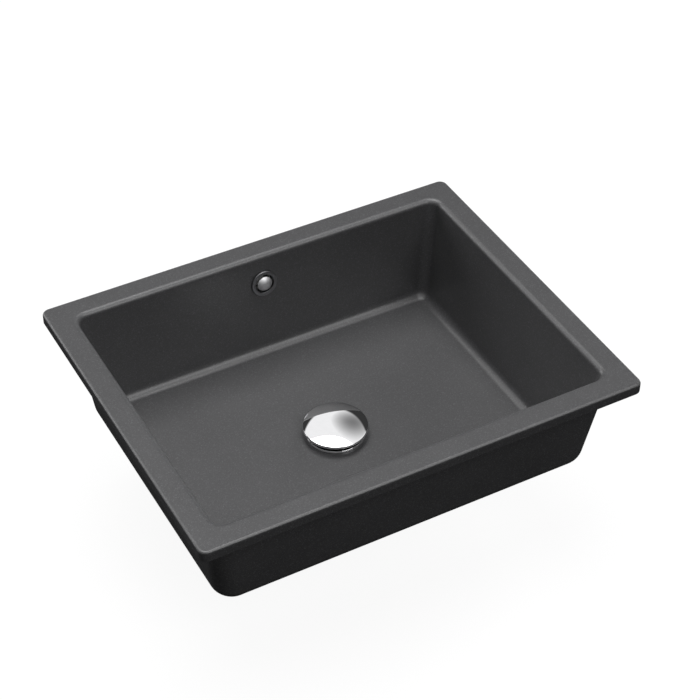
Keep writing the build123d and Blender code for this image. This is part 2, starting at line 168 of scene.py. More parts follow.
class WasteSizes(bpy.types.PropertyGroup):
    """The thread that is cut in the waste fitting's tail."""

    tail: length("Tail", "Diameter of the tail", 0.04191)
    thread_top: length("Thread top", "Depth of the thread's upper end under the rim", 0.1615)
    thread_bottom: length("Thread bottom", "Depth of the tail's lower end under the rim", 0.1945)
    pitch: length("Pitch", "Distance from one turn of the thread to the next", 0.002309)
    groove: length("Groove", "Depth of the thread's groove", 0.0011)
    groove_width: length("Groove width", "Width of the thread's groove", 0.00212428)
    steps: count("Steps", "Divisions of each turn of the thread", 64)


class CapSizes(bpy.types.PropertyGroup):
    """The waste's domed cap."""

    diameter: length("Diameter", "Diameter of the cap", 0.072)
    crown: length("Crown", "Rise of the cap's dome", 0.00375)
    edge: length("Edge", "Height of the cap's edge", 0.003)
    edge_round: length("Edge round", "Rounding of the cap's edge", 0.0013)
    wall: length("Wall", "Thickness of the cap's metal", 0.002)
    boss: length("Boss", "Diameter of the boss under the cap", 0.016)
    thread: length("Thread", "Diameter of the threaded hole in the boss", 0.0081)
    thread_roof: length("Thread roof", "Metal left above the threaded hole", 0.0015)
    steps: count("Steps", "Divisions round the cap", 256)


class Colours(bpy.types.PropertyGroup):
    """The colours and finishes of the pieces."""

    stone: colour("Stone", "Ground colour of the stone composite", (0.105, 0.105, 0.108))
    grain: colour("Grain", "Colour of the composite's pale grains", (0.26, 0.26, 0.27))
    chrome: colour("Chrome", "Colour of the chromed metal", (0.88, 0.88, 0.89))
    satin: colour("Satin chrome", "Colour of the overflow button's dulled chrome", (0.80, 0.80, 0.81))
    # painted shade: the overflow ring's chrome is darkened so that the ring renders dim
    dark_chrome: colour("Dark chrome", "Colour of the overflow ring's dark chrome", (0.28, 0.28, 0.29))
    brass: colour("Brass", "Colour of the bare brass", (0.72, 0.55, 0.28))
    rubber: colour("Rubber", "Colour of the seals", (0.030, 0.030, 0.031))
    white_plastic: colour("White plastic", "Colour of the white moulded parts", (0.78, 0.78, 0.75))
    grey_plastic: colour("Grey plastic", "Colour of the overflow duct", (0.27, 0.28, 0.29))
    steel: colour("Steel", "Colour of the spring's wire", (0.60, 0.61, 0.62))
    stone_roughness: share("Stone roughness", "Roughness of the stone composite", 0.52)
    polish_roughness: share("Polish roughness", "Roughness of the sheen on the polished faces", 0.36)


class StudioSettings(bpy.types.PropertyGroup):
    """The camera, the lamps and the floor."""

    heading: angle("Heading", "How far the camera stands round to the left", 28.361)
    elevation: angle("Elevation", "How far the camera looks down", 41.304)
    camera_place: location("Camera place", "Where the camera stands", (-0.7076, -1.2999, 1.3074))
    lens: millimetres("Lens", "Focal length in millimetres", 96.986)
    sensor: millimetres("Sensor", "Sensor width in millimetres", 36.0)
    shift: share("Shift", "Sideways shift of the camera's frame", 0.02769)
    overhead_width: angle("Overhead width", "How wide the lamp above looks from the basin", 45.0)
    lamp_width: angle("Lamp width", "How wide the other lamps look from the basin", 32.0)
    overhead_place: location("Overhead place", "Where the lamp above stands", (0.0, 0.42, 1.96))
    overhead_power: power("Overhead power", "Strength of the lamp above", 1.45)
    front_place: location("Front place", "Where the lamp at the front stands", (0.48, -1.33, 1.41))
    front_power: power("Front power", "Strength of the lamp at the front", 0.51)
    left_place: location("Left place", "Where the low lamp behind to the left stands", (-0.94, 1.63, 0.68))
    left_power: power("Left power", "Strength of the low lamp behind to the left", 0.7)
    right_place: location("Right place", "Where the low lamp behind to the right stands", (1.63, 0.94, 0.68))
    right_power: power("Right power", "Strength of the low lamp behind to the right", 1.5)
    floor_drop: length("Floor drop", "How far the floor lies under the rim's underside", 0.1945)
    floor_reach: length("Floor reach", "How far the floor reaches from the basin", 30.0)
    floor_grey: share("Floor grey", "How much of the lamps' light the floor gives back", 0.15)
    floor_white: share("Floor white", "Brightness of the floor as the camera sees it", 0.92)


class WashbasinSettings(bpy.types.PropertyGroup):
    """All that a user may change."""

    bowl: PointerProperty(type=BowlSizes)
    inserts: PointerProperty(type=InsertSizes)
    overflow: PointerProperty(type=OverflowSizes)
    waste: PointerProperty(type=WasteSizes)
    cap: PointerProperty(type=CapSizes)
    colours: PointerProperty(type=Colours)
    studio: PointerProperty(type=StudioSettings)


# Node trees


def function(operation):
    """A function of a number."""
    return lambda number: number.math(operation, number)


def infix(operation):
    """An operator on a number and another, and its reflected form."""
    return (
        lambda number, other: number.math(operation, number, other),
        lambda number, other: number.math(operation, other, number),
    )


class Number:
    """A number that a node gives: sums and products of it add Math nodes."""

    cos, sin = function("COSINE"), function("SINE")
    floor, size = function("FLOOR"), function("ABSOLUTE")
    __add__, __radd__ = infix("ADD")
    __sub__, __rsub__ = infix("SUBTRACT")
    __mul__, __rmul__ = infix("MULTIPLY")
    __truediv__, __rtruediv__ = infix("DIVIDE")
    __pow__, __rpow__ = infix("POWER")
    __mod__, __rmod__ = infix("MODULO")
    __gt__, __lt__ = infix("GREATER_THAN")
    at_least, _ = infix("MAXIMUM")
    at_most, _ = infix("MINIMUM")

    def __init__(self, graph, socket):
        self.graph = graph
        self.socket = socket

    def math(self, operation, *operands):
        """A sum, product or function of numbers, by one Math node."""
        made = self.graph.node("ShaderNodeMath", {"operation": operation}, dict(enumerate(operands)))
        return Number(self.graph, made.outputs[0])

    def share(self):
        """The number kept between nought and one."""
        return self.at_least(0.0).at_most(1.0)

    def ramp(self, start, end):
        """0 up to a start, 1 from an end on, and a straight slope between them."""
        return ((self - start) / (end - start)).share()


class Graph:
    """A node tree in the making."""

    def __init__(self, tree):
        self.tree = tree
        tree.nodes.clear()

    def node(self, kind, settings=None, sockets=None):
        """Adds a node: its settings first, then the values or links of its sockets, by name or place."""
        made = self.tree.nodes.new(kind)
        for name, value in (settings or {}).items():
            setattr(made, name, value)
        for key, value in (sockets or {}).items():
            for each in value if isinstance(value, list) else [value]:
                self.feed(made, key, each)
        return made

    def feed(self, made, key, value):
        """Gives a value or a link to one socket of a node, found by its name or its place."""
        if isinstance(key, int):
            socket = made.inputs[key]
        else:
            socket = next(each for each in made.inputs if each.enabled and each.name == key)
        value = value.socket if isinstance(value, Number) else value
        if isinstance(value, bpy.types.NodeSocket):
            self.tree.links.new(value, socket)
        else:
            socket.default_value = value

    def made(self, kind, settings=None, sockets=None):
        """Adds a node and returns its first output, such as its geometry or its shader."""
        return self.node(kind, settings, sockets).outputs[0]

    def number(self, kind, settings=None, sockets=None):
        """Adds a node and returns its first output for sums."""
        return Number(self, self.made(kind, settings, sockets))

    def rays(self, *kinds):
        """For each kind of light ray 1 where the ray is of that kind, and otherwise 0."""
        path = self.node("ShaderNodeLightPath").outputs
        return [Number(self, path[f"Is {kind} Ray"]) for kind in kinds]

    def split(self, vector):
        """The three numbers of a vector."""
        parts = self.node("ShaderNodeSeparateXYZ", sockets={0: vector}).outputs
        return [Number(self, part) for part in parts]

    def join(self, x, y, z):
        """A vector of three numbers."""
        return self.made("ShaderNodeCombineXYZ", sockets={0: x, 1: y, 2: z})


class Finish(Graph):
    """A material with one shader, with patterns on the piece's own coordinates."""

    def __init__(self, name, **constants):
        self.material = bpy.data.materials.new(name)
        self.material.use_nodes = True
        super().__init__(self.material.node_tree)
        sockets = {key.replace("_", " "): value for key, value in constants.items()}
        self.shader = self.node("ShaderNodeBsdfPrincipled", sockets=sockets)
        self.node("ShaderNodeOutputMaterial", sockets={"Surface": self.shader.outputs["BSDF"]})
        self.place = self.node("ShaderNodeTexCoord").outputs["Object"]

    def noise(self, size, detail=2.0, place=None):
        """Soft noise, from nought to one, with patches of a size."""
        sockets = {"Vector": place or self.place, "Scale": 1 / size, "Detail": detail, "Roughness": 0.5}
        return self.number("ShaderNodeTexNoise", sockets=sockets)

    def grains(self, size):
        """Cells of a size, with a chance number for each."""
        cell = self.node("ShaderNodeTexVoronoi", sockets={"Vector": self.place, "Scale": 1 / size})
        return self.split(cell.outputs["Color"])[0]

    def mix(self, amount, first, second):
        """A colour between two colours, each given as three numbers or as the socket of another mix."""
        first, second = (c if isinstance(c, bpy.types.NodeSocket) else (*c, 1.0) for c in (first, second))
        settings = {"data_type": "RGBA", "clamp_factor": True}
        return self.node("ShaderNodeMix", settings, {"Factor": amount, "A": first, "B": second}).outputs[2]

    def set(self, name, value):
        """Feeds one of the shader's sockets that changes over the surface."""
        self.feed(self.shader, name, value)

    def shade(self, amount, tint, dark, pale=1.0):
        """Colours the surface between a darker and a paler form of a colour."""
        self.set("Base Color", self.mix(amount, tinted(tint, dark), tinted(tint, pale)))

    def bump(self, height, depth):
        """Raises the surface by a height, from nought to one, over a depth."""
        sockets = {"Strength": 1.0, "Distance": depth, "Height": height}
        self.set("Normal", self.made("ShaderNodeBump", sockets=sockets))


class Shape(Graph):
    """A geometry tree with named inputs, that ends in plain faces with one material."""

    KINDS = {float: "NodeSocketFloat", int: "NodeSocketInt", Vector: "NodeSocketVector"}

    def __init__(self, name, inputs):
        super().__init__(bpy.data.node_groups.new(name, "GeometryNodeTree"))
        sides = self.tree.interface
        sides.new_socket("Geometry", in_out="INPUT", socket_type="NodeSocketGeometry")
        for label, kind in inputs.items():
            sides.new_socket(label, in_out="INPUT", socket_type=self.KINDS[kind])
        sides.new_socket("Material", in_out="INPUT", socket_type="NodeSocketMaterial")
        sides.new_socket("Geometry", in_out="OUTPUT", socket_type="NodeSocketGeometry")
        self.given = self.node("NodeGroupInput")

    def input(self, name):
        """One of the tree's named inputs."""
        return Number(self, self.given.outputs[name])

    def finish(self, geometry):
        """Ends the tree: smooth faces, with hard edges where they turn sharply."""
        steep = self.number("GeometryNodeInputMeshEdgeAngle") > HARD_EDGE
        smooth = self.made("GeometryNodeSetShadeSmooth", {"domain": "FACE"}, {"Geometry": geometry})
        edges = {"Geometry": smooth, "Selection": steep, "Shade Smooth": False}
        hard = self.made("GeometryNodeSetShadeSmooth", {"domain": "EDGE"}, edges)
        plain = self.made("GeometryNodeRealizeInstances", sockets={"Geometry": hard})
        dress = {"Geometry": plain, "Material": self.input("Material")}
        dressed = self.made("GeometryNodeSetMaterial", sockets=dress)
        self.node("NodeGroupOutput", sockets={"Geometry": dressed})
        return self.tree


def shown(name, data):
    """A new object in the scene."""
    made = bpy.data.objects.new(name, data)
    bpy.context.scene.collection.objects.link(made)
    return made


def grow(name, tree, values, seed):
    """The plain object that a geometry tree makes of a seed mesh, with the tree's inputs given by name."""
    carrier = shown(name, seed)
    modifier = carrier.modifiers.new(name, "NODES")
    modifier.node_group = tree
    for item in tree.interface.items_tree:
        if item.in_out == "INPUT" and item.name in values:
            modifier[item.identifier] = values[item.name]
    result = carrier.evaluated_get(bpy.context.evaluated_depsgraph_get())
    mesh = bpy.data.meshes.new_from_object(result)
    carrier.modifiers.remove(modifier)
    carrier.data = mesh
    if not mesh.polygons:
        raise RuntimeError(f"{name} came out empty")
    return carrier


# Outlines


def arc_points(before, corner, after, radius, steps):
    """A corner of a flat outline, rounded: the points of the arc that joins its two sides."""
    before, corner, after = Vector(before), Vector(corner), Vector(after)
    back = (before - corner).normalized()
    ahead = (after - corner).normalized()
    half = back.angle(ahead) / 2
    middle = corner + (back + ahead).normalized() * (radius / math.sin(half))
    start = corner + back * (radius / math.tan(half)) - middle
    sweep = math.pi - 2 * half
    side = 1 if back.cross(ahead) < 0 else -1
    return [middle + Matrix.Rotation(side * sweep * i / steps, 2) @ start for i in range(steps + 1)]


def rounded_outline(points, steps=8):
    """A flat outline from points of a radius, a height and the rounding of the corner there."""
    line = []
    for index, (x, y, rounding) in enumerate(points):
        if rounding:
            before, after = points[index - 1][:2], points[(index + 1) % len(points)][:2]
            line += arc_points(before, (x, y), after, rounding, steps)
        else:
            line.append(Vector((x, y)))
    return line


def dome_sphere(radius, crown):
    """The radius of the sphere that a shallow dome is cut from."""
    return (radius**2 + crown**2) / (2 * crown)


def dome_points(radius, edge, crown, steps):
    """A shallow dome's outline, from its edge to its middle."""
    sphere = dome_sphere(radius, crown)
    centre = edge + crown - sphere
    distances = [radius * (1 - i / steps) for i in range(steps + 1)]
    return [(x, centre + math.sqrt(sphere**2 - x**2), 0) for x in distances]


def turned(name, outline, steps, finish, pose=None):
    """A round piece turned from a closed outline of (radius, height) points."""
    shape = bmesh.new()
    pose = pose or Matrix()
    rings = []
    for radius, height in outline:
        turns = [2 * math.pi * i / steps for i in range(steps if radius > MERGE else 1)]
        points = [Vector((radius * math.cos(turn), radius * math.sin(turn), height)) for turn in turns]
        rings.append([shape.verts.new(pose @ point) for point in points])
    for low, high in zip(rings, rings[1:] + rings[:1]):
        for i in range(steps):
            j = (i + 1) % steps
            corners = [low[i % len(low)], low[j % len(low)], high[j % len(high)], high[i % len(high)]]
            corners = list(dict.fromkeys(corners))
            if len(corners) > 2:
                shape.faces.new(corners)
    bmesh.ops.recalc_face_normals(shape, faces=shape.faces)
    for face in shape.faces:
        face.smooth = True
    mesh = bpy.data.meshes.new(name)
    shape.to_mesh(mesh)
    shape.free()
    mesh.set_sharp_from_angle(angle=HARD_TURNED_EDGE)
    mesh.materials.append(finish)
    return shown(name, mesh)


def merged_copy(node):
    """A copy of a CAD node's mesh with its corners joined."""
    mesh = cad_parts[node].data.copy()
    shape = bmesh.new()
    shape.from_mesh(mesh)
    bmesh.ops.remove_doubles(shape, verts=shape.verts, dist=MERGE)
    shape.to_mesh(mesh)
    shape.free()
    return mesh


def put(piece, body, slot, *nodes):
    """Lets a piece ride on a body, in the place of CAD nodes. The slot is not used."""
    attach(piece, body)
    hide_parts(*nodes)


def dress(finish, *nodes):
    """Gives CAD nodes a finish."""
    for node in nodes:
        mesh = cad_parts[node].data
        mesh.materials.clear()
        mesh.materials.append(finish)


# Finishes


def tinted(colour, amount):
    """A colour made darker or lighter."""
    return [min(1.0, c * amount) for c in colour]


def polished(stone, s):
    """1 on the bowl's smooth inside and rim top, 0 on its raw outside and underside."""
    x, y, z = stone.split(stone.place)
    drop = s.rim_thickness - z
    end = s.rim_length / 2 - s.band_ends - s.opening_corner - drop * math.tan(s.end_draft)
    side = s.rim_width / 2 - s.band_sides - s.opening_corner - drop * math.tan(s.side_draft)
    over_x, over_y = (x.size() - end).at_least(0.0), (y.size() - side).at_least(0.0)
    reach = s.opening_corner + SKIN + s.lip_round * (drop < s.lip_round)
    within = (over_x * over_x + over_y * over_y) ** 0.5 < reach
    inside = within * (drop < s.depth + s.floor_fall + SKIN)
    return inside.at_least(drop < s.rim_top_round / 2)


def stone_finish(colours):
    """Quartz composite: a dark ground with fine grains, and a soft sheen where it is polished."""
    sheen = {"Coat_IOR": 1.7, "Coat_Roughness": colours.polish_roughness}
    stone = Finish("stone composite", Specular_IOR_Level=0.0, **sheen)
    stone.set("Coat Weight", polished(stone, bpy.context.scene.washbasin.bowl))
    chance = stone.grains(size=0.0009)
    fine = stone.grains(size=0.0005)
    cloud = stone.noise(size=0.05, detail=3.0)
    patches = fine * 0.6 + cloud * 0.4
    ground = stone.mix(patches, tinted(colours.stone, 0.72), tinted(colours.stone, 1.28))
    few = (chance - 0.8) * 2
    stone.set("Base Color", stone.mix(few, ground, colours.grain))
    stone.set("Roughness", colours.stone_roughness - 0.06 + fine * 0.12)
    stone.bump(stone.noise(size=0.0006) * 0.7 + fine * 0.3, depth=0.00006)
    return stone.material


def chrome_finish(colours):
    """Bright chrome with the faintest polishing haze."""
    chrome = Finish("chrome", Metallic=1.0)
    haze = chrome.noise(size=0.006, detail=3.0)
    chrome.shade(haze, colours.chrome, 0.94)
    chrome.set("Roughness", 0.001 + haze * 0.002)
    return chrome.material


def satin_finish(name, tint, roughness):
    """Dulled chrome in a given colour; the overflow ring's darkened colour is painted shade."""
    satin = Finish(name, Metallic=1.0)
    haze = satin.noise(size=0.003, detail=3.0)
    satin.shade(haze, tint, 0.9)
    satin.set("Roughness", roughness + haze * 0.08)
    return satin.material


def brass_finish(colours):
    """Turned brass with fine rings from the tool."""
    brass = Finish("brass", Metallic=1.0)
    x, y, z = brass.split(brass.place)
    ring_width = 0.0004
    along = (z + (x * x + y * y) ** 0.5) / ring_width
    rings = brass.noise(size=1.0, place=brass.join(0.0, 0.0, along))
    stain = brass.noise(size=0.004, detail=3.0)
    brass.shade(stain, colours.brass, 0.82)
    brass.set("Roughness", 0.22 + rings * 0.14)
    brass.bump(rings, depth=0.00003)
    return brass.material


def rubber_finish(colours):
    """Matt black rubber with a dusty bloom."""
    rubber = Finish("rubber", Specular_IOR_Level=0.3)
    bloom = rubber.noise(size=0.003, detail=4.0)
    rubber.shade(bloom, colours.rubber, 1.0, 1.9)
    rubber.set("Roughness", 0.62 + bloom * 0.2)
    rubber.bump(rubber.noise(size=0.0004), depth=0.00003)
    return rubber.material


def plastic_finish(name, tint):
    """Moulded plastic with a fine grain."""
    plastic = Finish(name, Specular_IOR_Level=0.4)
    cloud = plastic.noise(size=0.03, detail=3.0)
    grain = plastic.noise(size=0.0005)
    plastic.shade(cloud, tint, 0.9, 1.08)
    plastic.set("Roughness", 0.38 + grain * 0.16)
    plastic.bump(grain, depth=0.00004)
    return plastic.material


def steel_finish(colours):
    """Drawn steel wire."""
    steel = Finish("spring steel", Metallic=1.0)
    streak = steel.noise(size=0.0008, detail=3.0)
    steel.shade(streak, colours.steel, 0.75)
    steel.set("Roughness", 0.25 + streak * 0.2)
    return steel.material


FINISHES = {
    "stone": stone_finish,
    "chrome": chrome_finish,
    "satin chrome": lambda colours: satin_finish("satin chrome", colours.satin, 0.48),
    # painted shade: chrome darkened so that the overflow ring renders dim
    "dark chrome": lambda colours: satin_finish("dark chrome", colours.dark_chrome, 0.26),
    "brass": brass_finish,
    "rubber": rubber_finish,
    "white plastic": lambda colours: plastic_finish("white plastic", colours.white_plastic),
    "grey plastic": lambda colours: plastic_finish("grey plastic", colours.grey_plastic),
    "steel": steel_finish,
}
made_finishes = {}


def finish(name):
    """One of the finishes, made when it is first asked for."""
    if name not in made_finishes:
        made_finishes[name] = FINISHES[name](bpy.context.scene.washbasin.colours)
    return made_finishes[name]


# The stone bowl


def bowl_corners(s):
    """The corners of the bowl's section, round from the waste hole's lower edge and back to it.

    Each is the half length, the half width, the height, the corner radius seen from above, and the rounding
    with its number of steps.
    """
    top = s.rim_thickness
    floor = top - s.depth
    pad = floor - s.floor_fall
    base = floor - s.floor_thickness
    base_pad = pad - s.floor_thickness - s.underside_drop
    opening = (s.rim_length / 2 - s.band_ends, s.rim_width / 2 - s.band_sides)
    outside = (opening[0] + s.end_wall, opening[1] + s.side_wall)

    def leaning(plan, drafts, height):
        return [half - math.tan(draft) * (top - height) for half, draft in zip(plan, drafts)]

    inner = (s.end_draft, s.side_draft)
    outer = (s.outer_end_draft, s.outer_side_draft)
    hole = s.waste_hole / 2
    recess = s.recess / 2
    rim = (s.rim_length / 2, s.rim_width / 2)
    pad_plan = (s.pad_length / 2, s.pad_width / 2)
    return [
        (hole, hole, base_pad, hole, 0, 0),
        (*pad_plan, base_pad, s.pad_corner, 0, 0),
        (*leaning(outside, outer, base), base, s.outer_corner, s.base_round, 14),
        (*leaning(outside, outer, 0.0), 0.0, s.outer_corner, s.rim_root_round, 6),
        (*rim, 0.0, s.rim_corner, s.rim_lower_round, 4),
        (*rim, top, s.rim_corner, s.rim_top_round, 8),
        (*opening, top, s.opening_corner, s.lip_round, 10),
        (*leaning(opening, inner, floor), floor, s.opening_corner, s.floor_round, 12),
        (*pad_plan, pad, s.pad_corner, 0, 0),
        (recess, recess, pad, recess, 0, 0),
        (recess, recess, pad - s.recess_depth, recess, 0, 0),
        (hole, hole, pad - s.recess_depth, hole, 0, 0),
    ]


def bowl_stations(s):
    """The bowl's section as a closed row of stations.

    Each is the half length, the half width, the corner radius, and the height at the ends and at the sides.
    """
    corners = bowl_corners(s)
    stations = []
    for index, corner in enumerate(corners):
        before, after = corners[index - 1], corners[(index + 1) % len(corners)]
        half_length, _, height, plan, rounding, steps = corner
        if not rounding:
            stations.append(station_of(corner))
            continue
        ends, sides = (
            arc_points(*((each[way], each[2]) for each in (before, corner, after)), rounding, steps)
            for way in (0, 1)
        )
        upright = max(before, after, key=lambda other: abs(other[2] - height))
        lean = (upright[0] - half_length) / (upright[2] - height)
        arc = []
        for end, side in zip(ends, sides):
            wall = half_length + lean * (end.y - height)
            arc.append((end.x, side.x, plan + end.x - wall, end.y, side.y))
        stations.append(between(arc[0], station_of(before), SUPPORT))
        stations += arc
        stations.append(between(arc[-1], station_of(after), SUPPORT))
    return stations


def station_of(corner):
    """A corner of the section as a station."""
    half_length, half_width, height, plan, _, _ = corner
    return (half_length, half_width, plan, height, height)


def between(start, goal, distance):
    """The station that lies a little way from a station towards another."""
    run = math.dist(start[:2] + start[3:], goal[:2] + goal[3:])
    return tuple(a + (b - a) * distance / run for a, b in zip(start, goal))


def section_mesh(stations):
    """The stations as a mesh of single points, which a geometry tree can read."""
    mesh = bpy.data.meshes.new("bowl_section")
    mesh.from_pydata([station[:3] for station in stations], [], [])
    heights = mesh.attributes.new("heights", "FLOAT_VECTOR", "POINT")
    for item, station in zip(heights.data, stations):
        item.vector = (station[3], station[4], 0.0)
    return mesh


SPREAD = {"Insert Spread X": float, "Insert Spread Y": float}


def at_four_places(g, instance):
    """An instance at each of the inserts' four places."""
    sockets = {"Size X": g.input("Insert Spread X"), "Size Y": g.input("Insert Spread Y")}
    places = g.made("GeometryNodeMeshGrid", sockets={**sockets, "Vertices X": 2, "Vertices Y": 2})
    return g.made("GeometryNodeInstanceOnPoints", sockets={"Points": places, "Instance": instance})


def cut_away(g, body, cutters):
    """A body less its cutters."""
    settings = {"operation": "DIFFERENCE", "solver": "EXACT"}
    return g.made("GeometryNodeMeshBoolean", settings, {"Mesh 1": body, "Mesh 2": cutters})


def bowl_tree():
    """Sweeps the section round a rounded rectangle and cuts the round holes."""
    inputs = {"Corner Steps": int, "Side Steps": int, "Overflow Place": Vector, "Overflow Tilt": Vector}
    inputs.update({"Overflow Radius": float, "Through": float, "Overflow Steps": int})
    inputs.update({"Insert Radius": float, "Insert Depth": float, "Insert Steps": int, **SPREAD})
    g = Shape("rounded bowl", inputs)
    section = g.given.outputs["Geometry"]
    stations = g.number("GeometryNodeAttributeDomainSize", {"component": "MESH"}, {"Geometry": section})
    rows = stations + 1
    corner, side = g.input("Corner Steps"), g.input("Side Steps")
    quarter_columns = corner + side
    divisions = {"Vertices X": quarter_columns * 4 + 1, "Vertices Y": rows}
    grid = g.made("GeometryNodeMeshGrid", sockets=divisions)

    index = g.number("GeometryNodeInputIndex")
    column = ((index + 0.5) / rows).floor()
    station = (index - column * rows) % stations
    quarter = ((column + 0.5) / quarter_columns).floor()
    step = column - quarter * quarter_columns
    heading = (quarter + (step / corner).at_most(1.0)) * (math.pi / 2)
    along = 0.5 - 0.5 * (((step - corner).at_least(0.0) / side) * math.pi).cos()

    def corner_side(wave):
        """The side on which the corner's centre lies, 1 or -1, sliding over to the next corner's."""
        here = wave((quarter + 0.5) * (math.pi / 2)) * math.sqrt(2)
        following = wave((quarter + 1.5) * (math.pi / 2)) * math.sqrt(2)
        return here + (following - here) * along

    def sampled(value):
        sockets = {"Geometry": section, "Value": value, "Index": station}
        sample = g.made("GeometryNodeSampleIndex", {"data_type": "FLOAT_VECTOR", "domain": "POINT"}, sockets)
        return g.split(sample)

    half_length, half_width, plan = sampled(g.made("GeometryNodeInputPosition"))
    named = g.made("GeometryNodeInputNamedAttribute", {"data_type": "FLOAT_VECTOR"}, {"Name": "heights"})
    end_height, side_height, _ = sampled(named)
    turn_x, turn_y = heading.cos(), heading.sin()
    x = corner_side(Number.cos) * (half_length - plan) + plan * turn_x
    y = corner_side(Number.sin) * (half_width - plan) + plan * turn_y
    z = end_height * turn_x * turn_x + side_height * turn_y * turn_y
    shaped = g.made("GeometryNodeSetPosition", sockets={"Geometry": grid, "Position": g.join(x, y, z)})
    closed = g.made("GeometryNodeMergeByDistance", sockets={"Geometry": shaped, "Distance": MERGE})

    def drill(name, depth):
        sockets = {"Vertices": g.input(f"{name} Steps"), "Radius": g.input(f"{name} Radius"), "Depth": depth}
        return g.made("GeometryNodeMeshCylinder", sockets=sockets)

    at_wall = {"Translation": g.input("Overflow Place"), "Rotation": g.input("Overflow Tilt")}
    overflow = drill("Overflow", g.input("Through"))
    overflow = g.made("GeometryNodeTransform", sockets={"Geometry": overflow, **at_wall})
    holes = at_four_places(g, drill("Insert", g.input("Insert Depth") * 2))
    holes = g.made("GeometryNodeRealizeInstances", sockets={"Geometry": holes})
    return g.finish(cut_away(g, closed, [overflow, holes]))


def overflow_place(s):
    """The overflow's place on the back wall's inner face, with its own Z pointing into the bowl."""
    y = s.rim_width / 2 - s.band_sides - math.tan(s.side_draft) * s.overflow_drop
    tilt = math.pi / 2 - s.side_draft
    return Vector((0.0, y, s.rim_thickness - s.overflow_drop)), tilt


def insert_spread(s):
    """How far the inserts stand from each other, along and across the basin."""
    return {"Insert Spread X": s.insert_spacing, "Insert Spread Y": s.rim_width - 2 * s.insert_edge}


class WASHBASIN_OT_stone_bowl(bpy.types.Operator):
    """Builds the stone bowl with its rim."""

    bl_idname = "washbasin.stone_bowl"
    bl_label = "Stone Bowl"

    def execute(self, context):
        s = context.scene.washbasin.bowl
        place, tilt = overflow_place(s)
        values = {
            "Corner Steps": s.corner_steps,
            "Side Steps": s.side_steps,
            "Overflow Place": place,
            "Overflow Tilt": (tilt, 0.0, 0.0),
            "Overflow Radius": s.overflow_hole / 2,
            "Through": 3 * s.side_wall,
            "Overflow Steps": s.hole_steps,
            "Insert Radius": s.insert_hole / 2,
            "Insert Depth": s.insert_hole_depth,
            "Insert Steps": context.scene.washbasin.inserts.steps,
            "Material": finish("stone"),
            **insert_spread(s),
        }
        bowl = grow("stone_bowl", bowl_tree(), values, section_mesh(bowl_stations(s)))
        put(bowl, "basin", "stone", "basin_bowl")
        return {"FINISHED"}


# The threaded inserts


def insert_outline(s):
    """One insert's outline: a threaded bore that opens downwards, and a closed upper end."""
    root, crest, outside = s.bore / 2, s.bore / 2 - s.ridge, s.diameter / 2
    foot, tip = 0.4 * s.pitch, 0.075 * s.pitch
    roof = s.depth - s.roof
    line = [(root, 0.0)]
    ridges = int(roof / s.pitch)
    for ridge in range(ridges):
        height = roof * (ridge + 0.5) / ridges
        line += [(root, height - foot), (crest, height - tip), (crest, height + tip), (root, height + foot)]
    bevel = s.ridge / 2
    line += [(0.0, roof), (0.0, s.depth), (outside, s.depth), (outside, bevel), (outside - bevel, 0.0)]
    return line


def insert_tree():
    """Puts the insert at the four places."""
    g = Shape("rim inserts", SPREAD)
    return g.finish(at_four_places(g, g.given.outputs["Geometry"]))


class WASHBASIN_OT_rim_inserts(bpy.types.Operator):
    """Builds the four threaded inserts in the rim's underside."""

    bl_idname = "washbasin.rim_inserts"
    bl_label = "Rim Inserts"

    def execute(self, context):
        s = context.scene.washbasin.inserts
        single = turned("single_insert", insert_outline(s), s.steps, finish("brass"))
        values = {"Material": finish("brass"), **insert_spread(context.scene.washbasin.bowl)}
        inserts = grow("threaded_inserts", insert_tree(), values, single.data)
        bpy.data.objects.remove(single)
        put(inserts, "basin", "brass", "rim_inserts")
        return {"FINISHED"}


# The overflow


def ring_outline(s):
    """The trim ring's outline: its sleeve, and its flange with a rounded edge."""
    throat, sleeve = s.throat / 2, s.throat / 2 + s.sleeve_wall
    face = s.gasket + s.ring_thickness
    return rounded_outline(
        [
            (throat, s.gasket - s.sleeve_length, 0),
            (sleeve, s.gasket - s.sleeve_length, 0),
            (sleeve, s.gasket, 0),
            (s.ring / 2, s.gasket, 0),
            (s.ring / 2, face, s.ring_round),
            (throat, face, s.throat_round),
        ]
    )


def button_outline(s):
    """The domed button's outline, with its shank."""
    under = s.gasket + s.button_stand
    radius, shank = s.button / 2, s.shank / 2
    dome = dome_points(radius, under + s.button_edge, s.button_crown, steps=24)
    edge = [(radius, under, s.button_round), (radius, under + s.button_edge, s.button_round)]
    stem = [(0, -s.shank_reach, 0), (shank, -s.shank_reach, 0), (shank, under, 0)]
    return rounded_outline(stem + edge + dome[1:])


class WASHBASIN_OT_overflow_trim(bpy.types.Operator):
    """Builds the overflow's ring and button, and dresses what is behind them."""

    bl_idname = "washbasin.overflow_trim"
    bl_label = "Overflow Trim"

    def execute(self, context):
        settings = context.scene.washbasin
        origin, tilt = overflow_place(settings.bowl)
        at_wall = Matrix.Translation(origin) @ Matrix.Rotation(tilt, 4, "X")
        s = settings.overflow
        # the ring's darkened chrome is painted shade
        ring = turned("overflow_trim_ring", ring_outline(s), s.steps, finish("dark chrome"), at_wall)
        put(ring, "basin", "chrome", "overflow_ring")
        button = turned("overflow_button", button_outline(s), s.steps, finish("satin chrome"), at_wall)
        put(button, "basin", "chrome", "overflow_screw")
        dress(finish("rubber"), "overflow_gasket")
        dress(finish("white plastic"), "overflow_bridge")
        return {"FINISHED"}


class WASHBASIN_OT_overflow_duct(bpy.types.Operator):
    """Dresses the overflow's duct."""

    bl_idname = "washbasin.overflow_duct"
    bl_label = "Overflow Duct"

    def execute(self, context):
        dress(finish("grey plastic"), "overflow_duct")
        return {"FINISHED"}


# The waste fitting


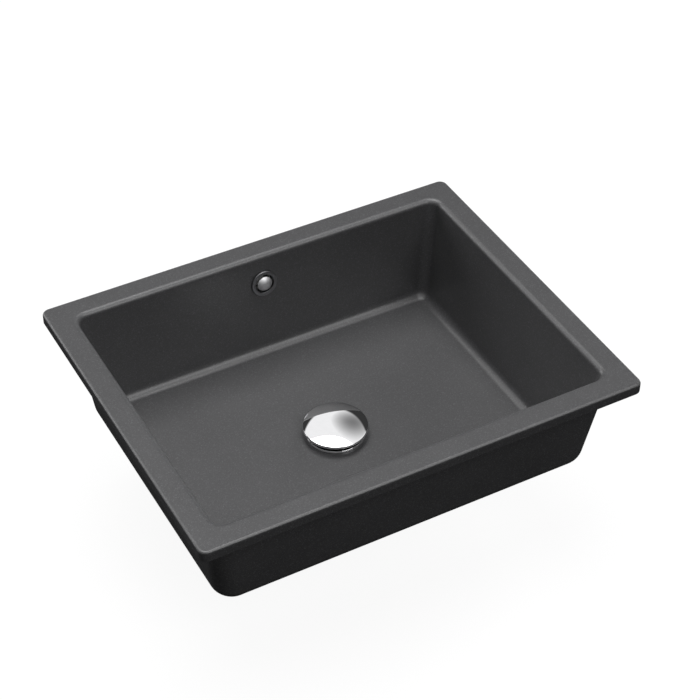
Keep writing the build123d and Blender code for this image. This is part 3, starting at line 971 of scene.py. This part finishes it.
def thread_tree():
    """Cuts a spiral groove in the tail."""
    inputs = dict.fromkeys(("Radius", "Bottom", "Height", "Pitch", "Groove", "Groove Width"), float)
    g = Shape("tail thread", {**inputs, "Turn Steps": int})
    radius, height = g.input("Radius"), g.input("Height")
    spiral = {"Resolution": g.input("Turn Steps"), "Rotations": height / g.input("Pitch")}
    spiral.update({"Start Radius": radius, "End Radius": radius, "Height": height})
    path = g.made("GeometryNodeCurveSpiral", sockets=spiral)
    path = g.made("GeometryNodeSetCurveNormal", {"mode": "Z_UP"}, {"Curve": path})
    tooth = g.made("GeometryNodeCurvePrimitiveCircle", {"mode": "RADIUS"}, {"Resolution": 4, "Radius": 1.0})
    flat = g.join(g.input("Groove"), g.input("Groove Width") / 2, 1.0)
    tooth = g.made("GeometryNodeTransform", sockets={"Geometry": tooth, "Scale": flat})
    sweep = {"Curve": path, "Profile Curve": tooth, "Fill Caps": True}
    groove = g.made("GeometryNodeCurveToMesh", sockets=sweep)
    low = g.join(0.0, 0.0, g.input("Bottom"))
    groove = g.made("GeometryNodeTransform", sockets={"Geometry": groove, "Translation": low})
    return g.finish(cut_away(g, g.given.outputs["Geometry"], groove))


class WASHBASIN_OT_waste_fitting(bpy.types.Operator):
    """Builds the waste fitting with its thread, and dresses its seals, washer and nut."""

    bl_idname = "washbasin.waste_fitting"
    bl_label = "Waste Fitting"

    def execute(self, context):
        s = context.scene.washbasin.waste
        values = {
            "Radius": s.tail / 2,
            "Bottom": -s.thread_bottom,
            "Height": s.thread_bottom - s.thread_top,
            "Pitch": s.pitch,
            "Groove": s.groove,
            "Groove Width": s.groove_width,
            "Turn Steps": s.steps,
            "Material": finish("chrome"),
        }
        fitting = grow("waste_fitting", thread_tree(), values, merged_copy("waste_body"))
        put(fitting, "basin", "chrome", "waste_body")
        dress(finish("rubber"), "waste_flange_seal", "lower_seal")
        dress(finish("white plastic"), "slip_washer")
        dress(finish("brass"), "back_nut", "tail_spider")
        return {"FINISHED"}


class WASHBASIN_OT_click_cartridge(bpy.types.Operator):
    """Dresses the click cartridge."""

    bl_idname = "washbasin.click_cartridge"
    bl_label = "Click Cartridge"

    def execute(self, context):
        dress(finish("brass"), "cartridge_case", "cartridge_collar", "plunger_stem")
        dress(finish("rubber"), "stem_oring")
        dress(finish("white plastic"), "cam_sleeve", "latch_rotor")
        dress(finish("steel"), "plunger_spring")
        return {"FINISHED"}


# The cap


def cap_outline(s):
    """The cap's outline: a hollow dome with a rounded edge and a threaded boss under its middle."""
    bottom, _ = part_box("waste_cap")
    seal_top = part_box("cap_seal")[1].z
    radius, thread, boss = s.diameter / 2, s.thread / 2, s.boss / 2
    edge_top = bottom.z + s.edge
    top = edge_top + s.crown
    inside = dome_points(radius - s.wall, edge_top - s.wall, s.crown, steps=24)
    hollow = [point for point in inside if point[0] > boss]
    meets = top - s.wall - boss**2 / (2 * dome_sphere(radius, s.crown))
    outline = [(0, top - s.thread_roof, 0), (thread, top - s.thread_roof, 0), (thread, seal_top, 0)]
    outline += [(boss, seal_top, 0), (boss, meets, 0), *reversed(hollow), (radius - s.wall, bottom.z, 0)]
    outline += [(radius, height, s.edge_round) for height in (bottom.z, edge_top)]
    outline += dome_points(radius, edge_top, s.crown, steps=40)[2:]  # the edge's rounding has the place of two
    return rounded_outline(outline, steps=10)


class WASHBASIN_OT_waste_cap(bpy.types.Operator):
    """Builds the domed cap, and dresses its seal and the seal's retainer."""

    bl_idname = "washbasin.waste_cap"
    bl_label = "Waste Cap"

    def execute(self, context):
        s = context.scene.washbasin.cap
        cap = turned("domed_cap", cap_outline(s), s.steps, finish("chrome"))
        put(cap, "plug", "chrome", "waste_cap")
        dress(finish("rubber"), "cap_seal")
        dress(finish("brass"), "seal_retainer")
        return {"FINISHED"}


# The studio


def soft_lamp(name, place, width, strength, mirrored=True):
    """A round lamp far away, that shines from a place to the basin and looks as wide as an angle there."""
    lamp = shown(name, bpy.data.lights.new(name, "SUN"))
    lamp.data.angle, lamp.data.energy = width, strength
    lamp.location = place
    lamp.rotation_euler = (-Vector(place)).to_track_quat("-Z", "Y").to_euler()
    lamp.visible_glossy = mirrored


def studio_floor(s):
    """A pale floor that shows white and keeps a soft shadow, and is clear from below."""
    material = bpy.data.materials.new("floor")
    material.use_nodes = True
    g = Graph(material.node_tree)
    seen, mirrored, through = g.rays("Camera", "Glossy", "Transmission")
    strength = seen.at_least(mirrored).at_least(through) * s.floor_white
    grey = (s.floor_grey, s.floor_grey, s.floor_grey, 1.0)
    paper = g.made("ShaderNodeBsdfDiffuse", sockets={"Color": grey})
    glow = g.made("ShaderNodeEmission", sockets={"Color": WHITE, "Strength": strength})
    white = g.made("ShaderNodeAddShader", sockets={0: paper, 1: glow})
    clear = g.made("ShaderNodeBsdfTransparent")
    behind = g.node("ShaderNodeNewGeometry").outputs["Backfacing"]
    sides = g.made("ShaderNodeMixShader", sockets={0: behind, 1: white, 2: clear})
    g.node("ShaderNodeOutputMaterial", sockets={"Surface": sides})
    mesh = bpy.data.meshes.new("floor")
    near, far, level = -s.floor_reach, s.floor_reach, -s.floor_drop
    corners = [(near, near, level), (far, near, level), (far, far, level), (near, far, level)]
    mesh.from_pydata(corners, [], [(0, 1, 2, 3)])
    mesh.materials.append(material)
    floor = shown("floor", mesh)


def white_screen(side, ahead, rise):
    """What sharply mirroring metal sees: a white band low down, and a white screen over it.

    The screen's lower edge is an arch ahead of the camera. Its near half is dimmer, and it has a grey patch
    to the right.
    """
    band_top, band_fade = 0.40, 0.09
    foot, foot_fade, arch, arch_height = 0.46, 0.03, 3.0, 0.24
    patch_side, patch_rise, patch_size, patch_grey = 0.16, 0.66, 0.2, 0.78
    gap, white, near_half = 0.04, 0.96, 0.35
    band = rise.ramp(band_top, band_top - band_fade)
    edge = foot + (arch * side * side).at_most(arch_height)
    right, up = (side - patch_side) / patch_size, (rise - patch_rise) / patch_size
    patch = (1.0 - right * right - up * up).share()
    dimmer = near_half + (1.0 - near_half) * ahead.ramp(-0.1, 0.1)
    screen = gap + (rise - edge).ramp(0.0, foot_fade) * (white - patch_grey * patch) * dimmer
    return band.at_least(screen), band


def studio_world(s):
    """A white surround, which metal mirrors as a screen, and which soft sheens see dimmed."""
    world = bpy.context.scene.world or bpy.data.worlds.new("studio")
    bpy.context.scene.world = world
    world.use_nodes = True
    g = Graph(world.node_tree)
    x, y, rise = g.split(g.node("ShaderNodeTexCoord").outputs["Generated"])
    side = x * math.cos(s.heading) - y * math.sin(s.heading)
    ahead = x * math.sin(s.heading) + y * math.cos(s.heading)
    screen, band = white_screen(side, ahead, rise)
    from_level_faces = ahead * math.cos(s.elevation) + rise * math.sin(s.elevation)
    canopy = rise.ramp(0.5, 0.6) * from_level_faces.ramp(0.95, 0.85)
    gloom, band_glow, canopy_glow = 0.02, 0.15, 0.9
    soft = gloom + band_glow * band + canopy_glow * canopy
    seen, mirrored, through, sharp = g.rays("Camera", "Glossy", "Transmission", "Singular")
    strength = seen.at_least(through).at_least(mirrored * (soft + (screen - soft) * sharp))
    sky = g.made("ShaderNodeBackground", sockets={"Color": WHITE, "Strength": strength})
    g.node("ShaderNodeOutputWorld", sockets={"Surface": sky})


def studio_camera(s):
    """The camera at the photograph's viewing angle."""
    camera = shown("camera", bpy.data.cameras.new("camera"))
    camera.data.lens, camera.data.sensor_width, camera.data.shift_x = s.lens, s.sensor, s.shift
    camera.location = s.camera_place
    camera.rotation_euler = (math.pi / 2 - s.elevation, 0.0, -s.heading)
    bpy.context.scene.camera = camera


class WASHBASIN_OT_studio(bpy.types.Operator):
    """Sets up the floor, the light and the camera."""

    bl_idname = "washbasin.studio"
    bl_label = "Studio"

    def execute(self, context):
        s = context.scene.washbasin.studio
        studio_floor(s)
        studio_world(s)
        studio_camera(s)
        soft_lamp("overhead", s.overhead_place, s.overhead_width, s.overhead_power)
        soft_lamp("front", s.front_place, s.lamp_width, s.front_power)
        soft_lamp("left", s.left_place, s.lamp_width, s.left_power)
        soft_lamp("right", s.right_place, s.lamp_width, s.right_power, mirrored=False)
        context.scene.view_settings.view_transform = "Standard"
        return {"FINISHED"}


class WASHBASIN_PT_pieces(bpy.types.Panel):
    """Lists the pieces in the sidebar."""

    bl_label = "Washbasin"
    bl_space_type = "VIEW_3D"
    bl_region_type = "UI"
    bl_category = "Washbasin"

    def draw(self, context):
        for operator in OPERATORS:
            self.layout.operator(operator.bl_idname)


SETTINGS = (
    BowlSizes,
    InsertSizes,
    OverflowSizes,
    WasteSizes,
    CapSizes,
    Colours,
    StudioSettings,
    WashbasinSettings,
)
OPERATORS = (
    WASHBASIN_OT_stone_bowl,
    WASHBASIN_OT_rim_inserts,
    WASHBASIN_OT_overflow_trim,
    WASHBASIN_OT_overflow_duct,
    WASHBASIN_OT_waste_fitting,
    WASHBASIN_OT_click_cartridge,
    WASHBASIN_OT_waste_cap,
    WASHBASIN_OT_studio,
)
CLASSES = (*SETTINGS, *OPERATORS, WASHBASIN_PT_pieces)


def register():
    for each in CLASSES:
        bpy.utils.register_class(each)
    bpy.types.Scene.washbasin = PointerProperty(type=WashbasinSettings)


def unregister():
    del bpy.types.Scene.washbasin
    for each in reversed(CLASSES):
        bpy.utils.unregister_class(each)


def plain(box):
    """A box as plain lists."""
    return [list(corner) for corner in box]


def main():
    """Builds everything."""
    register()
    for operator in OPERATORS:
        group, name = operator.bl_idname.split(".")
        getattr(getattr(bpy.ops, group), name)()


if __name__ == "__main__":
    main()
